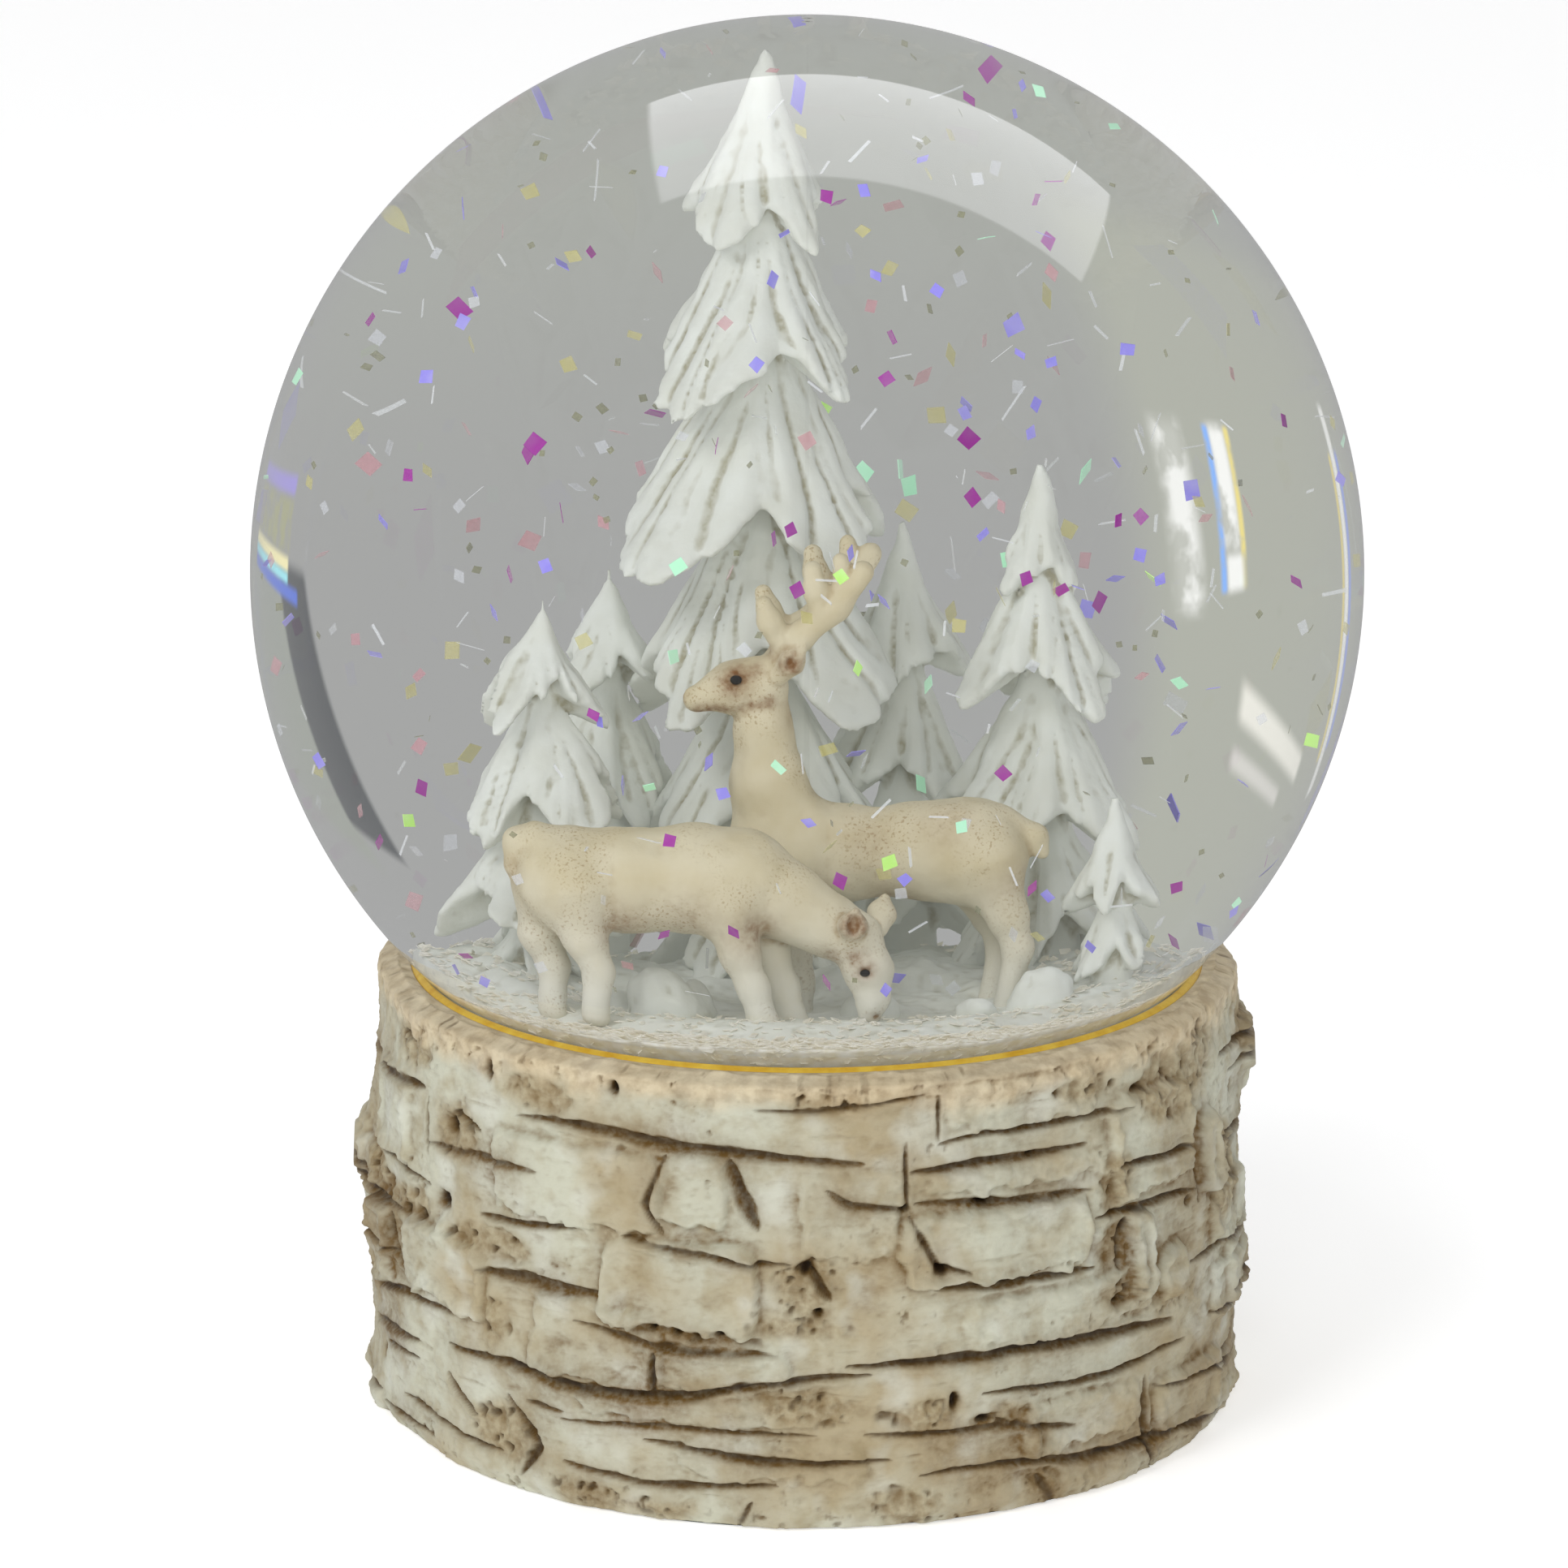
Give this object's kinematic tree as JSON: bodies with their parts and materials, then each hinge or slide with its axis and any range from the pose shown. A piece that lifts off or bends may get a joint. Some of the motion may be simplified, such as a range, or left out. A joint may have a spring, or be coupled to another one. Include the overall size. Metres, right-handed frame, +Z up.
{
  "type": "musical snow globe",
  "caption": "Water-filled glass ball with deer and snowy firs on a birch-bark resin base that hides a key-wound musical movement.",
  "frame": {"origin": "middle of the felt ring's underside, on the ball's axis", "axes": "+Z up through the ball, -Y the front that the doe's flank faces, +X to the right seen from the front"},
  "size_m": [0.1, 0.1, 0.126],
  "materials": {
    "clear_glass": "clear",
    "clear_liquid": "clear",
    "birch_resin": "matte",
    "felt": "felt",
    "gold_trim": "polished",
    "silicone": "satin",
    "black_rubber": "matte",
    "snow_resin": "matte",
    "snow_chips": "satin",
    "ivory_resin": "matte",
    "glitter": "iridescent",
    "cover_plastic": "matte",
    "zinc_steel": "plated",
    "nickel_plate": "nickel plated",
    "movement_zinc": "die cast",
    "movement_brass": "turned",
    "spring_steel": "blued",
    "nylon": "satin"
  },
  "bodies": {
    "globe_on_base": {"birch_base": "birch_resin", "felt_pad": "felt", "gold_trim_ring": "gold_trim", "silicone_seal": "silicone", "glass_globe": "clear_glass", "rubber_stopper": "black_rubber", "liquid_fill": "clear_liquid", "settled_snow": "snow_chips", "glitter_flakes": "glitter", "snow_ground": "snow_resin", "tall_fir": "snow_resin", "left_fir": "snow_resin", "right_fir": "snow_resin", "middle_fir": "snow_resin", "back_fir": "snow_resin", "small_fir": "snow_resin", "boulders": "snow_resin", "stag": "ivory_resin", "doe": "ivory_resin", "bottom_cover": "cover_plastic", "cover_screws": "zinc_steel", "movement_screws": "zinc_steel", "movement_bedplate": "movement_zinc", "tone_comb": "spring_steel", "comb_screws": "zinc_steel", "cylinder_bracket": "movement_zinc", "spring_housing": "movement_zinc", "mainspring": "spring_steel", "governor_frame": "movement_zinc"},
    "key_and_great_wheel": {"winding_key": "nickel_plate", "winding_arbor": "zinc_steel", "great_wheel": "movement_brass", "ratchet_wheel": "zinc_steel", "click_spring": "spring_steel"},
    "drum": {"cylinder_shaft": "zinc_steel", "cylinder_pinion": "movement_brass", "music_cylinder": "movement_brass", "cylinder_gear": "movement_brass"},
    "governor": {"governor_shaft": "zinc_steel", "governor_pinion": "movement_brass", "governor_wheel": "nylon"},
    "fly": {"fly_shaft": "zinc_steel", "governor_worm": "nylon", "air_brake_fly": "nylon"}
  },
  "joints": [
    {"name": "key_turn", "type": "hinge", "parent": "globe_on_base", "child": "key_and_great_wheel", "pos_m": [-0.014, 0.006, 0.004], "axis": [0, 0, 1], "range_deg": [-1260, 0]},
    {"name": "drum_spin", "type": "hinge", "parent": "globe_on_base", "child": "drum", "pos_m": [0.01, 0.006, 0.0185], "axis": [1, 0, 0], "range_deg": [-5040, 0]},
    {"name": "governor_spin", "type": "hinge", "parent": "globe_on_base", "child": "governor", "pos_m": [0.021, 0.0132, 0.0185], "axis": [1, 0, 0], "range_deg": [0, 25200]},
    {"name": "fly_spin", "type": "hinge", "parent": "globe_on_base", "child": "fly", "pos_m": [0.0221, 0.0191, 0.02], "axis": [0, 0, 1], "range_deg": [-604800, 0]}
  ],
  "couplings": [
    {"joint": "drum_spin", "follows": "key_turn", "ratio": 4},
    {"joint": "governor_spin", "follows": "key_turn", "ratio": -20},
    {"joint": "fly_spin", "follows": "key_turn", "ratio": 480}
  ]
}
